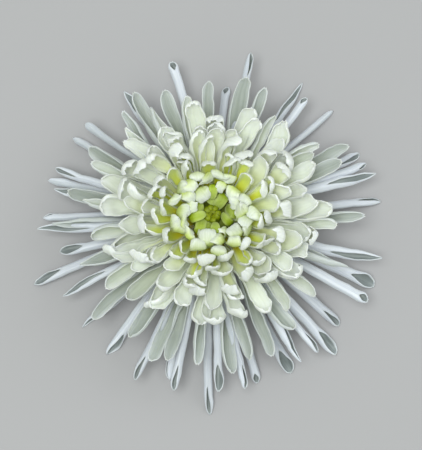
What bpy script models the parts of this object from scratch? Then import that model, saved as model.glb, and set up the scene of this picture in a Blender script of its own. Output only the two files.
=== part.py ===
"""A spider chrysanthemum bloom, cut with a short stub of stem and lying face up on a surface.

Metres, +Z up. The surface is z = 0, and the origin is on it, under the middle of the bloom's spread.
Clock angles are in degrees, anticlockwise from +X as seen from above.
"""

import math
import random

import bmesh
import bpy
from mathutils import Matrix, Vector

# Where the bloom's axis stands, so that the middle of its spread is over the origin
AXIS_X = 0.0015
AXIS_Y = 0.0028

# Stem, calyx and receptacle
STEM_RADIUS = 0.0029
STEM_TOP = 0.0080
CALYX_TOP = 0.0135
CALYX_SIDE = 0.0112
CALYX_RADIUS = 0.0085
SEAT_GAP = 0.0003
CORE_BOTTOM = CALYX_TOP + SEAT_GAP
CORE_RADIUS = 0.0118
CORE_WAIST = 0.0162
CORE_SIDE = 0.0200
CORE_TOP = 0.0275
CORE_FLAT_RADIUS = 0.0050
CORE_SHOULDER_RADIUS = 0.0085
CORE_SHOULDER = 0.0252
EYE_RADIUS = 0.0033
EYE_BOTTOM = CORE_TOP + SEAT_GAP
EYE_SHOULDER = 0.0292
EYE_TOP = 0.0300
ROUND_SIDES = 24

# Florets: how deep their roots are sunk, the least thickness of a blade, how far the roots of the
# outer ones are spread towards even spacing, the handles of the curves that they follow, and the rise
# per length of chord above which a floret is upright
SEED = 11
GOLDEN_ANGLE = 137.508
ROOT_SINK = 0.0022
BLADE = 0.0007
EVEN_SHARE = 0.45
HANDLE = 0.38
GUIDE_STEPS = 24
UPRIGHT = 0.85

# How much one floret differs from the next: clock angle and twist in degrees, tip height in metres,
# and the rest as shares
CLOCK_SPREAD = 4.0
TWIST_SPREAD = 9.0
HEIGHT_SPREAD = 0.0014
REACH_SPREAD = 0.06
WIDTH_SPREAD = 0.16
CURL_SPREAD = 0.30

# The dome from the eye outwards: florets inside this one, its tip radius, tip height and half width,
# and the angles by which it leaves below its chord and curls above it
DOME_RINGS = (
    (0, 0.0046, 0.0355, 0.0016, 6, 40),
    (9, 0.0062, 0.0372, 0.0019, 8, 60),
    (16, 0.0088, 0.0395, 0.0023, 10, 72),
    (40, 0.0134, 0.0412, 0.0026, 14, 70),
    (46, 0.0172, 0.0424, 0.0029, 18, 44),
    (76, 0.0248, 0.0402, 0.0032, 18, 32),
    (108, 0.0322, 0.0352, 0.0035, 18, 22),
    (152, 0.0415, 0.0270, 0.0036, 14, 14),
)
DOME_COUNT = 152
DOME_ROOTS = (0.0074, 0.0110)

# Beyond the dome the florets' tips stand at these clock angles and radii
SPOONS = (
    (2, 0.0539), (24, 0.0500), (30, 0.0553), (33, 0.0427), (38, 0.0458), (61, 0.0415), (68, 0.0507),
    (77, 0.0528), (92, 0.0490), (102, 0.0438), (112, 0.0487), (119, 0.0441), (123, 0.0535),
    (129, 0.0497), (135, 0.0437), (148, 0.0504), (156, 0.0472), (169, 0.0525), (172, 0.0455),
    (181, 0.0563), (186, 0.0430), (200, 0.0487), (212, 0.0451), (219, 0.0546), (225, 0.0424),
    (237, 0.0508), (247, 0.0546), (252, 0.0521), (264, 0.0515), (276, 0.0549), (287, 0.0508),
    (294, 0.0525), (304, 0.0487), (311, 0.0428), (325, 0.0455), (340, 0.0504), (357, 0.0441),
)
UPPER_QUILLS = (
    (17, 0.0605), (21, 0.0588), (53, 0.0560), (77, 0.0630), (104, 0.0598), (142, 0.0574),
    (161, 0.0588), (168, 0.0570), (182, 0.0616), (191, 0.0546), (206, 0.0584), (244, 0.0612),
    (257, 0.0602), (272, 0.0595), (282, 0.0595), (302, 0.0581), (309, 0.0588), (333, 0.0616),
    (348, 0.0609),
)
LOWEST_QUILLS = (
    (9, 0.0609), (26, 0.0591), (44, 0.0605), (58, 0.0616), (84, 0.0510), (123, 0.0584),
    (147, 0.0595), (164, 0.0609), (177, 0.0605), (198, 0.0665), (218, 0.0581), (231, 0.0588),
    (254, 0.0567), (269, 0.0668), (286, 0.0577), (298, 0.0591), (314, 0.0633), (322, 0.0574),
    (340, 0.0616),
)
SPOON_HALF_WIDTH = 0.0025
SPOON_SLOPE = 0.90
SPOON_ROOTS = (0.0205, 0.0190)
SPOON_BEND = (6, 18)
QUILL_HALF_WIDTH = 0.0023
UPPER_QUILL_ROOTS = (0.0180,)
UPPER_QUILL_TIP = 0.0095
UPPER_QUILL_BEND = (-8, 10)
LOWEST_QUILL_ROOTS = (0.0166,)
LOWEST_QUILL_TIP = -0.0004
LOWEST_QUILL_BEND = (-14, 8)

# Sections along a floret: share of its length, then its half width and the heights of its rims and
# of its floor above the keel, as shares of the floret's greatest half width
QUILL_SECTIONS = (
    (0.0, 0.38, 0.34, 0.72),
    (0.60, 0.70, 0.68, 1.30),
    (0.88, 1.00, 0.95, 0.50),
    (0.97, 0.66, 0.75, 0.40),
)
SPOON_SECTIONS = (
    (0.0, 0.34, 0.34, 0.68),
    (0.45, 0.68, 0.64, 1.20),
    (0.80, 1.06, 0.75, 0.26),
    (0.95, 0.70, 0.70, 0.32),
)
BLADE_SECTIONS = (
    (0.0, 0.22, 0.17, 0.34),
    (0.52, 0.76, 0.50, 0.20),
    (0.88, 1.00, 0.58, 0.20),
)
SCALE_SECTIONS = (
    (0.0, 0.70, 0.30, 0.35),
    (0.50, 1.00, 0.40, 0.35),
    (0.85, 0.60, 0.35, 0.35),
)
TIP_RISE = 0.55

# The eye's young florets and the green bracts round the calyx, ring by ring: count, root radius and
# height, tip radius and height
EYE_RINGS = (
    (4, 0.0006, 0.0288, 0.0006, 0.0315),
    (6, 0.0012, 0.0288, 0.0014, 0.0326),
    (8, 0.0020, 0.0288, 0.0021, 0.0336),
)
EYE_HALF_WIDTH = 0.0008
EYE_BEND = (10, 40)
BRACT_RINGS = (
    (9, 0.0040, 0.0092, 0.0100, 0.0112),
    (10, 0.0055, 0.0105, 0.0118, 0.0130),
    (11, 0.0066, 0.0118, 0.0130, 0.0146),
)
BRACT_HALF_WIDTH = 0.0020
BRACT_BEND = (10, 20)

# Profiles of the turned bodies, radius and height, from the top down
CALYX_PROFILE = (
    (0, CALYX_TOP),
    (CALYX_RADIUS, CALYX_TOP),
    (CALYX_RADIUS, CALYX_SIDE),
    (STEM_RADIUS, STEM_TOP),
    (STEM_RADIUS, 0),
    (0, 0),
)
CORE_PROFILE = (
    (0, CORE_TOP),
    (CORE_FLAT_RADIUS, CORE_TOP),
    (CORE_SHOULDER_RADIUS, CORE_SHOULDER),
    (CORE_RADIUS, CORE_SIDE),
    (CORE_RADIUS, CORE_WAIST),
    (CALYX_RADIUS, CORE_BOTTOM),
    (0, CORE_BOTTOM),
)
EYE_PROFILE = (
    (0, EYE_TOP),
    (EYE_RADIUS, EYE_SHOULDER),
    (EYE_RADIUS, EYE_BOTTOM),
    (0, EYE_BOTTOM),
)


def between(value, rows):
    """The row that lies at value between two rows of a table whose first column rises."""
    for low, high in zip(rows, rows[1:]):
        if value <= high[0]:
            break
    share = (value - low[0]) / (high[0] - low[0])
    return [a + (b - a) * share for a, b in zip(low[1:], high[1:])]


def varied(draw, spread):
    return draw.uniform(1 - spread, 1 + spread)


def at_clock(clock, radius, height):
    angle = math.radians(clock)
    return Vector((radius * math.cos(angle), radius * math.sin(angle), height))


def core_surface(radius):
    """Height of the receptacle's domed top at this radius."""
    out = max(0.0, radius - CORE_FLAT_RADIUS) / (CORE_RADIUS - CORE_FLAT_RADIUS)
    return CORE_TOP - (CORE_TOP - CORE_SIDE) * out * out


class Floret:
    """One floret: root and tip in the bloom's frame, and how it bends and twists between them."""

    def __init__(self, root, tip, half_width, bend, sections, draw):
        self.root = root
        self.tip = tip
        self.half_width = half_width * varied(draw, WIDTH_SPREAD)
        self.sag = math.radians(bend[0])
        self.curl = math.radians(bend[1] * varied(draw, CURL_SPREAD))
        self.twist = math.radians(draw.gauss(0, TWIST_SPREAD))
        self.sections = sections

    def frame(self):
        """The floret's own frame: X along its chord, Y across it, Z out of its inner face. An upright
        floret turns its inner face to the bloom's axis."""
        along = (self.tip - self.root).normalized()
        outward = self.root if along.z > UPRIGHT else along
        across = Vector((0, 0, 1)).cross(outward)
        across = (across - along * across.dot(along)).normalized()
        inner = along.cross(across)
        turn = Matrix((along, across, inner)).transposed().to_4x4()
        return Matrix.Translation(self.root) @ turn @ Matrix.Rotation(self.twist, 4, "X")

    def guide(self):
        """The four points of the Bezier curve that the keel follows, in the floret's own frame."""
        chord = (self.tip - self.root).length
        reach = HANDLE * chord
        start = Vector((math.cos(self.sag), 0, -math.sin(self.sag))) * reach
        end = Vector((math.cos(self.curl), 0, math.sin(self.curl))) * reach
        tip = Vector((chord, 0, 0))
        return Vector(), start, tip - end, tip


def bezier(points, t):
    a, b, c, d = points
    u = 1 - t
    return a * u**3 + b * 3 * u * u * t + c * 3 * u * t * t + d * t**3


def along_guide(points, share):
    """The place on the guide at this share of its length, and the tangent there."""
    steps = [bezier(points, i / GUIDE_STEPS) for i in range(GUIDE_STEPS + 1)]
    lengths = [0.0]
    for a, b in zip(steps, steps[1:]):
        lengths.append(lengths[-1] + (b - a).length)
    wanted = share * lengths[-1]
    i = max(i for i in range(GUIDE_STEPS) if lengths[i] <= wanted)
    part = (wanted - lengths[i]) / (lengths[i + 1] - lengths[i])
    return steps[i].lerp(steps[i + 1], part), (steps[i + 1] - steps[i]).normalized()


def dome_florets(draw):
    """The dense dome, in a golden-angle spiral from its outer edge to the eye."""
    made = []
    for rank in range(DOME_COUNT):
        inside = DOME_COUNT - rank
        radius, height, half_width, sag, curl = between(inside, DOME_RINGS)
        root_radius = DOME_ROOTS[0] + (DOME_ROOTS[1] - DOME_ROOTS[0]) * math.sqrt(inside / DOME_COUNT)
        clock = rank * GOLDEN_ANGLE
        root = at_clock(clock, root_radius - ROOT_SINK, core_surface(root_radius) - ROOT_SINK)
        tip_clock = clock + draw.gauss(0, CLOCK_SPREAD)
        tip_radius = radius * varied(draw, REACH_SPREAD)
        tip = at_clock(tip_clock, tip_radius, height + draw.uniform(-HEIGHT_SPREAD, HEIGHT_SPREAD))
        made.append(Floret(root, tip, half_width, (sag, curl), BLADE_SECTIONS, draw))
    return made


def tier(places, root_heights, half_width, bend, tip_height, sections, draw):
    """Florets at hand-placed tips. Their roots are spread more evenly than their tips."""
    made = []
    for index, (clock, radius) in enumerate(places):
        even = places[0][0] + 360 * index / len(places)
        root_clock = clock + EVEN_SHARE * ((even - clock + 180) % 360 - 180)
        root = at_clock(root_clock, CORE_RADIUS - ROOT_SINK, root_heights[index % len(root_heights)])
        tip = at_clock(clock, radius, tip_height(radius))
        made.append(Floret(root, tip, half_width, bend, sections, draw))
    return made


def ray_florets(draw):
    outer_radius, outer_height = DOME_RINGS[-1][1:3]

    def spoon_tip(radius):
        return outer_height - SPOON_SLOPE * (radius - outer_radius)

    def upper_quill_tip(radius):
        return UPPER_QUILL_TIP

    def lowest_quill_tip(radius):
        return LOWEST_QUILL_TIP

    lowest = (LOWEST_QUILLS, LOWEST_QUILL_ROOTS, QUILL_HALF_WIDTH, LOWEST_QUILL_BEND, lowest_quill_tip)
    upper = (UPPER_QUILLS, UPPER_QUILL_ROOTS, QUILL_HALF_WIDTH, UPPER_QUILL_BEND, upper_quill_tip)
    spoons = (SPOONS, SPOON_ROOTS, SPOON_HALF_WIDTH, SPOON_BEND, spoon_tip)
    quills = tier(*lowest, QUILL_SECTIONS, draw) + tier(*upper, QUILL_SECTIONS, draw)
    return quills + tier(*spoons, SPOON_SECTIONS, draw) + dome_florets(draw)


def whorls(rows, half_width, bend, draw):
    """Short florets or bracts in rings: count, root radius and height, tip radius and height."""
    made = []
    for row, (count, root_radius, root_height, tip_radius, tip_height) in enumerate(rows):
        for index in range(count):
            clock = 360 * index / count + row * GOLDEN_ANGLE
            root = at_clock(clock, root_radius, root_height)
            tip = at_clock(clock, tip_radius, tip_height)
            made.append(Floret(root, tip, half_width, bend, SCALE_SECTIONS, draw))
    return made


def floret_mesh(floret):
    """A closed floret: sections of four points, rim, floor, rim and keel, drawn together at the tip."""
    body = bmesh.new()
    matrix = floret.frame()
    guide = floret.guide()
    rings = []
    for share, wide, rim, floor in floret.sections:
        place, tangent = along_guide(guide, share)
        across = Vector((0, 1, 0))
        inner = tangent.cross(across)
        half = wide * floret.half_width
        rim_rise = inner * rim * floret.half_width
        floor_rise = inner * max(floor * floret.half_width, BLADE)
        left = place - across * half + rim_rise
        right = place + across * half + rim_rise
        points = (left, place + floor_rise, right, place)
        rings.append([body.verts.new(matrix @ point) for point in points])
    place, tangent = along_guide(guide, 1.0)
    inner = tangent.cross(Vector((0, 1, 0)))
    tip = body.verts.new(matrix @ (place + inner * TIP_RISE * floret.half_width))
    for near, far in zip(rings, rings[1:]):
        for rim in (0, 2):
            for middle in (1, 3):
                body.faces.new((near[rim], near[middle], far[middle]))
                body.faces.new((near[rim], far[middle], far[rim]))
    for a, b in zip(rings[-1], rings[-1][1:] + rings[-1][:1]):
        body.faces.new((a, b, tip))
    body.faces.new((rings[0][0], rings[0][1], rings[0][3]))
    body.faces.new((rings[0][1], rings[0][2], rings[0][3]))
    for vert in body.verts:
        vert.co.z = max(vert.co.z, 0.0)
    bmesh.ops.recalc_face_normals(body, faces=body.faces)
    mesh = bpy.data.meshes.new("floret")
    body.to_mesh(mesh)
    body.free()
    return mesh


def add_object(name, mesh, collection):
    made = bpy.data.objects.new(name, mesh)
    made.location = (AXIS_X, AXIS_Y, 0)
    collection.objects.link(made)
    return made


def turned(name, profile, collection):
    """A solid turned round the bloom's axis from a profile that runs from its top down to its foot."""
    mesh = bpy.data.meshes.new(name)
    points = [(radius, 0, height) for radius, height in profile]
    mesh.from_pydata(points, [(i, i + 1) for i in range(len(points) - 1)], [])
    made = add_object(name, mesh, collection)
    screw = made.modifiers.new("Turn", "SCREW")
    screw.steps = ROUND_SIDES
    screw.render_steps = ROUND_SIDES
    screw.use_merge_vertices = True
    screw.merge_threshold = 0.0001
    apply_modifiers(made)
    return made


def apply_modifiers(made):
    bpy.context.view_layer.update()
    shape = made.evaluated_get(bpy.context.evaluated_depsgraph_get())
    mesh = bpy.data.meshes.new_from_object(shape)
    made.modifiers.clear()
    made.data = mesh


def fill_hollows(mesh):
    """Keep the outer skin alone: hollows that the florets seal between them are filled."""
    skin = bmesh.new()
    skin.from_mesh(mesh)
    waiting = set(skin.verts)
    bodies = []
    while waiting:
        reached = [waiting.pop()]
        for vert in reached:
            near = {edge.other_vert(vert) for edge in vert.link_edges} & waiting
            waiting -= near
            reached.extend(near)
        bodies.append(reached)
    bodies.sort(key=len)
    loose = [vert for reached in bodies[:-1] for vert in reached]
    bmesh.ops.delete(skin, geom=loose, context="VERTS")
    skin.to_mesh(mesh)
    skin.free()


def fuse(body, florets):
    """Join the florets to the body that they grow from."""
    grown = bpy.data.collections.new(body.name + " florets")
    bpy.context.scene.collection.children.link(grown)
    for floret in florets:
        add_object("floret", floret_mesh(floret), grown)
    union = body.modifiers.new("Florets", "BOOLEAN")
    union.operation = "UNION"
    union.operand_type = "COLLECTION"
    union.collection = grown
    union.solver = "MANIFOLD"
    apply_modifiers(body)
    fill_hollows(body.data)
    for repeat in list(grown.objects):
        bpy.data.objects.remove(repeat)
    bpy.data.collections.remove(grown)


def paint(made, colour, roughness):
    material = bpy.data.materials.new(made.name)
    material.use_nodes = True
    shader = material.node_tree.nodes["Principled BSDF"]
    shader.inputs["Base Color"].default_value = (*colour, 1)
    shader.inputs["Roughness"].default_value = roughness
    shader.inputs["Metallic"].default_value = 0
    made.data.materials.clear()
    made.data.materials.append(material)


def main():
    for old in list(bpy.data.objects):
        bpy.data.objects.remove(old)
    bloom = bpy.data.collections.new("Spider chrysanthemum")
    bpy.context.scene.collection.children.link(bloom)
    draw = random.Random(SEED)

    rays = turned("ray_florets", CORE_PROFILE, bloom)
    fuse(rays, ray_florets(draw))
    paint(rays, (0.80, 0.83, 0.74), 0.5)

    eye = turned("eye_florets", EYE_PROFILE, bloom)
    fuse(eye, whorls(EYE_RINGS, EYE_HALF_WIDTH, EYE_BEND, draw))
    paint(eye, (0.52, 0.62, 0.14), 0.55)

    stem = turned("stem_and_bracts", CALYX_PROFILE, bloom)
    fuse(stem, whorls(BRACT_RINGS, BRACT_HALF_WIDTH, BRACT_BEND, draw))
    paint(stem, (0.16, 0.27, 0.07), 0.6)


main()
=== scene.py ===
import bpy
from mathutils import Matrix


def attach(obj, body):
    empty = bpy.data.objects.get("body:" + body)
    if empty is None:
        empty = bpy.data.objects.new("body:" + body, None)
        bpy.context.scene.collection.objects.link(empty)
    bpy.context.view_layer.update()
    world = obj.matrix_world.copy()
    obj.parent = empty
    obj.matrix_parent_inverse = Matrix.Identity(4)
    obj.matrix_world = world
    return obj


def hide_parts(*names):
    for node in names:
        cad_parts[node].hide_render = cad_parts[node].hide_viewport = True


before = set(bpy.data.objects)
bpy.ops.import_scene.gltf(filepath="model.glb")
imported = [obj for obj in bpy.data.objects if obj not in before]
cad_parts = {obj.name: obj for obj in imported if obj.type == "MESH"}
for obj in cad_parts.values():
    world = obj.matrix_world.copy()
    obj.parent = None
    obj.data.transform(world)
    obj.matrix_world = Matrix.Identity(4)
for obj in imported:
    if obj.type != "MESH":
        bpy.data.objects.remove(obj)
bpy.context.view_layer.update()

import math
import random
from collections import namedtuple

import bmesh
import bpy
from mathutils import Matrix, Vector

# A white spider chrysanthemum bloom, lying face up on its quills and its stub of stem.
# Metres, +Z up. Clock angles are in degrees, anticlockwise from +X as seen from above.

# Where the bloom's axis stands, so that the middle of its spread is over the origin
AXIS = Vector((0.0015, 0.0028, 0))

# Stem, calyx, receptacle and eye
STEM_RADIUS = 0.0029
STEM_TOP = 0.0080
CALYX_TOP = 0.0135
CALYX_SIDE = 0.0112
CALYX_RADIUS = 0.0085
CORE_BOTTOM = 0.0138
CORE_WAIST = 0.0162
CORE_RADIUS = 0.0118
CORE_SIDE = 0.0200
CORE_TOP = 0.0275
CORE_FLAT_RADIUS = 0.0050
CORE_SHOULDER_RADIUS = 0.0085
CORE_SHOULDER = 0.0252
EYE_BOTTOM = 0.0278
EYE_RADIUS = 0.0033
EYE_TOP = 0.0300

# Florets: how deep their roots are sunk, how far the roots of the outer ones are spread towards even
# spacing, the handles of the curves that they follow, and the rise per length of chord above which a
# floret is upright
SEED = 11
GOLDEN_ANGLE = 137.508
ROOT_SINK = 0.0022
EVEN_SHARE = 0.45
HANDLE = 0.38
GUIDE_STEPS = 24
UPRIGHT = 0.85

# How much one floret differs from the next: clock angle and twist in degrees, tip height in metres,
# and the rest as shares
CLOCK_SPREAD = 4.0
TWIST_SPREAD = 9.0
HEIGHT_SPREAD = 0.0014
REACH_SPREAD = 0.06
WIDTH_SPREAD = 0.16
CURL_SPREAD = 0.30

# The dome from the eye outwards: florets inside this one, its tip radius, tip height and half width,
# and the angles by which it leaves below its chord and curls above it
DOME_RINGS = (
    (0, 0.0046, 0.0355, 0.0016, 6, 40),
    (9, 0.0062, 0.0372, 0.0019, 8, 60),
    (16, 0.0088, 0.0395, 0.0023, 10, 72),
    (40, 0.0134, 0.0412, 0.0026, 14, 70),
    (46, 0.0172, 0.0424, 0.0029, 18, 44),
    (76, 0.0248, 0.0402, 0.0032, 18, 32),
    (108, 0.0322, 0.0352, 0.0035, 18, 22),
    (152, 0.0415, 0.0270, 0.0036, 14, 14),
)
DOME_COUNT = 152
DOME_ROOTS = (0.0074, 0.0110)

# The dome's florets are ranked from its outer edge inwards, and these ranks end its pieces
OUTER_END = 44
MIDDLE_END = 80
THROATS_END = 110
INNER_END = 122
HOODS_END = 142

# Beyond the dome the florets' tips stand at these clock angles and radii. Spoons that reach less far
# than SHORT_SPOON are the short ones, with a paler face: the longer ones, further out, carry more painted
# shade.
SPOONS = (
    (2, 0.0539), (24, 0.0500), (30, 0.0553), (33, 0.0427), (38, 0.0458), (61, 0.0415), (68, 0.0507),
    (77, 0.0528), (92, 0.0490), (102, 0.0438), (112, 0.0487), (119, 0.0441), (123, 0.0535),
    (129, 0.0497), (135, 0.0437), (148, 0.0504), (156, 0.0472), (169, 0.0525), (172, 0.0455),
    (181, 0.0563), (186, 0.0430), (200, 0.0487), (212, 0.0451), (219, 0.0546), (225, 0.0424),
    (237, 0.0508), (247, 0.0546), (252, 0.0521), (264, 0.0515), (276, 0.0549), (287, 0.0508),
    (294, 0.0525), (304, 0.0487), (311, 0.0428), (325, 0.0455), (340, 0.0504), (357, 0.0441),
)
UPPER_QUILLS = (
    (17, 0.0605), (21, 0.0588), (53, 0.0560), (77, 0.0630), (104, 0.0598), (142, 0.0574),
    (161, 0.0588), (168, 0.0570), (182, 0.0616), (191, 0.0546), (206, 0.0584), (244, 0.0612),
    (257, 0.0602), (272, 0.0595), (282, 0.0595), (302, 0.0581), (309, 0.0588), (333, 0.0616),
    (348, 0.0609),
)
LOWEST_QUILLS = (
    (9, 0.0609), (26, 0.0591), (44, 0.0605), (58, 0.0616), (84, 0.0510), (123, 0.0584),
    (147, 0.0595), (164, 0.0609), (177, 0.0605), (198, 0.0665), (218, 0.0581), (231, 0.0588),
    (254, 0.0567), (269, 0.0668), (286, 0.0577), (298, 0.0591), (314, 0.0633), (322, 0.0574),
    (340, 0.0616),
)
SPOON_HALF_WIDTH = 0.0025
SPOON_SLOPE = 0.90
SHORT_SPOON = 0.0485
SPOON_ROOTS = (0.0205, 0.0190)
SPOON_BEND = (6, 18)
QUILL_HALF_WIDTH = 0.0023
UPPER_QUILL_ROOTS = (0.0180,)
UPPER_QUILL_TIP = 0.0095
UPPER_QUILL_BEND = (-8, 10)
LOWEST_QUILL_ROOTS = (0.0166,)
LOWEST_QUILL_TIP = -0.0004
LOWEST_QUILL_BEND = (-14, 8)

# The lowest quills are pressed flatter below this height, and so rest on the surface
SOLE_HEIGHT = 0.0012

# The eye's young florets and the green bracts round the calyx, ring by ring: count, root radius and
# height, tip radius and height
EYE_RINGS = (
    (4, 0.0006, 0.0288, 0.0006, 0.0315),
    (6, 0.0012, 0.0288, 0.0014, 0.0326),
    (8, 0.0020, 0.0288, 0.0021, 0.0336),
)
EYE_HALF_WIDTH = 0.0008
EYE_BEND = (10, 40)
BRACT_RINGS = (
    (9, 0.0040, 0.0092, 0.0100, 0.0112),
    (10, 0.0055, 0.0105, 0.0118, 0.0130),
    (11, 0.0066, 0.0118, 0.0130, 0.0146),
)
BRACT_HALF_WIDTH = 0.0020
BRACT_BEND = (10, 20)

# Profiles of the turned pieces, radius and height, from the top down
RECEPTACLE_PROFILE = (
    (0.0022, CORE_TOP),
    (CORE_FLAT_RADIUS, CORE_TOP),
    (CORE_SHOULDER_RADIUS, CORE_SHOULDER),
    (CORE_RADIUS, CORE_SIDE),
    (CORE_RADIUS, CORE_WAIST),
    (CALYX_RADIUS, CORE_BOTTOM),
    (0.002, CORE_BOTTOM),
)
STEM_PROFILE = (
    (0.0022, CALYX_TOP),
    (CALYX_RADIUS, CALYX_TOP),
    (CALYX_RADIUS, CALYX_SIDE),
    (0.005, 0.0088),
    (STEM_RADIUS, STEM_TOP),
    (STEM_RADIUS, 0.0002),
    (STEM_RADIUS * 0.93, 0.0),
    (0.001, 0.0),
)
EYE_PROFILE = (
    (0.001, EYE_TOP),
    (0.0020, EYE_TOP - 0.0003),
    (0.0028, EYE_TOP - 0.0008),
    (EYE_RADIUS, EYE_TOP - 0.0016),
    (EYE_RADIUS, EYE_BOTTOM),
    (0.001, EYE_BOTTOM),
)
ROUND_SIDES = 32
SMOOTH_ANGLE = math.radians(40)

# Petal patterns, in half widths of the petal: rows from the root to the tip, each with its place
# along and its rise above the keel, its half width, the angle from rim to rim, in degrees, and how far
# the turn gathers at the rims: 1 is a round tube, and more is a flat middle with rolled rims. A row
# with a wrap over CLOSED_WRAP is closed, and closed rows make a tube. There are LANES points on each side
# of the keel, and a fold comes in over FOLD_ROWS rows.
Row = namedtuple("Row", "along rise half wrap roll")
CLOSED_WRAP = 360
LANES = 4
FOLD_ROWS = 3
QUILL_OPEN = (
    (0.0, 0, 0.44, 350, 1), (4.8, 0, 0.62, 362, 1), (9.6, 0, 0.74, 362, 1), (14.0, 0, 0.80, 362, 1),
    (17.6, 0, 0.84, 362, 1), (18.6, 0, 0.87, 322, 1), (19.7, 0, 0.90, 284, 1),
    (20.7, 0.03, 0.86, 256, 1), (21.4, 0.14, 0.72, 238, 1), (21.9, 0.32, 0.52, 226, 1),
    (22.2, 0.50, 0.32, 216, 1),
)
QUILL_TUBE = (
    (0.0, 0, 0.42, 350, 1), (4.8, 0, 0.58, 362, 1), (9.6, 0, 0.70, 362, 1), (14.4, 0, 0.78, 362, 1),
    (18.6, 0, 0.82, 362, 1), (20.3, 0, 0.83, 362, 1), (20.8, 0, 0.84, 326, 1),
    (21.3, 0.07, 0.78, 292, 1), (21.7, 0.20, 0.66, 268, 1), (22.0, 0.38, 0.50, 252, 1),
    (22.15, 0.52, 0.34, 240, 1),
)
QUILL_SLIT = (
    (0.0, 0, 0.42, 350, 1), (4.8, 0, 0.58, 362, 1), (9.6, 0, 0.70, 362, 1), (14.4, 0, 0.78, 362, 1),
    (18.0, 0, 0.82, 362, 1), (19.0, 0, 0.84, 342, 1), (20.0, 0, 0.82, 322, 1),
    (20.9, 0.02, 0.74, 302, 1), (21.5, 0.08, 0.60, 284, 1), (21.9, 0.18, 0.44, 270, 1),
    (22.2, 0.30, 0.26, 256, 1),
)
QUILL_POINTED = (
    (0.0, 0, 0.42, 350, 1), (4.6, 0, 0.60, 362, 1), (9.2, 0, 0.74, 362, 1), (13.4, 0, 0.84, 362, 1),
    (15.6, 0, 0.90, 330, 1), (17.4, 0, 0.92, 296, 1), (18.9, 0.02, 0.86, 270, 1.1),
    (20.2, 0.10, 0.70, 248, 1.1), (21.2, 0.24, 0.48, 230, 1), (21.9, 0.40, 0.26, 216, 1),
    (22.3, 0.52, 0.12, 206, 1),
)
SPOON_LONG = (
    (0.0, 0, 0.36, 340, 1), (2.4, 0, 0.46, 352, 1), (5.0, 0, 0.58, 362, 1), (7.8, 0, 0.70, 362, 1),
    (9.4, 0, 0.78, 330, 1), (11.4, 0, 0.88, 292, 1), (13.6, 0.03, 0.94, 262, 1),
    (15.3, 0.20, 0.84, 240, 1), (16.4, 0.56, 0.62, 222, 1), (16.9, 0.90, 0.36, 210, 1),
)
SPOON_POINTED = (
    (0.0, 0, 0.36, 340, 1), (2.4, 0, 0.46, 352, 1), (5.0, 0, 0.58, 362, 1), (7.4, 0, 0.70, 362, 1),
    (9.4, 0, 0.82, 312, 1), (11.6, 0, 0.94, 276, 1), (13.6, 0.03, 0.90, 252, 1),
    (15.2, 0.14, 0.70, 234, 1), (16.4, 0.34, 0.44, 218, 1), (17.3, 0.50, 0.16, 206, 1),
)
SPOON_BROAD = (
    (0.0, 0, 0.36, 340, 1), (2.4, 0, 0.48, 352, 1), (5.0, 0, 0.62, 356, 1), (7.4, 0, 0.80, 322, 1),
    (9.8, 0, 0.98, 276, 1), (12.0, 0, 1.06, 246, 1.1), (14.0, 0.08, 1.02, 228, 1.1),
    (15.4, 0.34, 0.88, 216, 1.1), (16.2, 0.76, 0.66, 208, 1.1), (16.5, 1.10, 0.40, 202, 1),
)
STRAP_ROUND = (
    (0.0, 0, 0.23, 310, 1), (1.4, 0, 0.34, 306, 1), (2.9, 0, 0.50, 304, 1.2),
    (4.5, 0, 0.70, 304, 1.5), (6.1, 0, 0.86, 302, 1.7), (7.6, 0.04, 0.93, 294, 1.8),
    (8.7, 0.16, 0.88, 280, 1.8), (9.5, 0.40, 0.74, 262, 1.6), (9.95, 0.70, 0.52, 246, 1.5),
    (10.1, 0.96, 0.27, 232, 1.3),
)
STRAP_FLAT = (
    (0.0, 0, 0.23, 300, 1), (1.4, 0, 0.36, 292, 1), (2.9, 0, 0.54, 286, 1.3),
    (4.6, 0, 0.76, 278, 1.6), (6.2, 0, 0.90, 268, 1.8), (7.8, 0.02, 0.94, 256, 1.9),
    (9.0, 0.10, 0.85, 240, 1.8), (9.8, 0.22, 0.67, 222, 1.6), (10.25, 0.36, 0.45, 206, 1.4),
    (10.5, 0.48, 0.22, 194, 1.2),
)
STRAP_HOODED = (
    (0.0, 0, 0.23, 310, 1), (1.4, 0, 0.34, 306, 1), (2.9, 0, 0.50, 302, 1.3),
    (4.6, 0, 0.70, 298, 1.6), (6.1, 0.01, 0.85, 290, 1.8), (7.4, 0.12, 0.94, 270, 1.9),
    (8.3, 0.42, 0.92, 248, 1.8), (8.8, 0.88, 0.81, 226, 1.7), (9.0, 1.36, 0.63, 208, 1.6),
    (8.95, 1.72, 0.36, 194, 1.4),
)
STRAP_HOOKED = (
    (0.0, 0, 0.23, 310, 1), (1.4, 0, 0.34, 302, 1), (2.9, 0, 0.50, 290, 1.3),
    (4.6, 0, 0.72, 270, 1.8), (6.1, 0, 0.88, 244, 1.8), (7.3, 0.03, 0.99, 204, 1.8),
    (8.2, 0.20, 1.03, 150, 1.7), (8.75, 0.66, 0.99, 96, 1.4), (9.05, 1.24, 0.86, 62, 1.1),
    (9.2, 1.74, 0.59, 44, 1),
)
INCURVED_ROUND = (
    (0.0, 0, 0.32, 300, 1), (1.2, 0, 0.49, 272, 1.2), (2.6, 0, 0.71, 250, 1.6),
    (4.0, 0, 0.88, 234, 2.0), (5.3, 0.02, 1.00, 218, 2.3), (6.4, 0.14, 1.03, 200, 2.3),
    (7.1, 0.44, 0.98, 184, 2.0), (7.45, 0.86, 0.83, 170, 1.6), (7.5, 1.20, 0.58, 160, 1.3),
)
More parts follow.
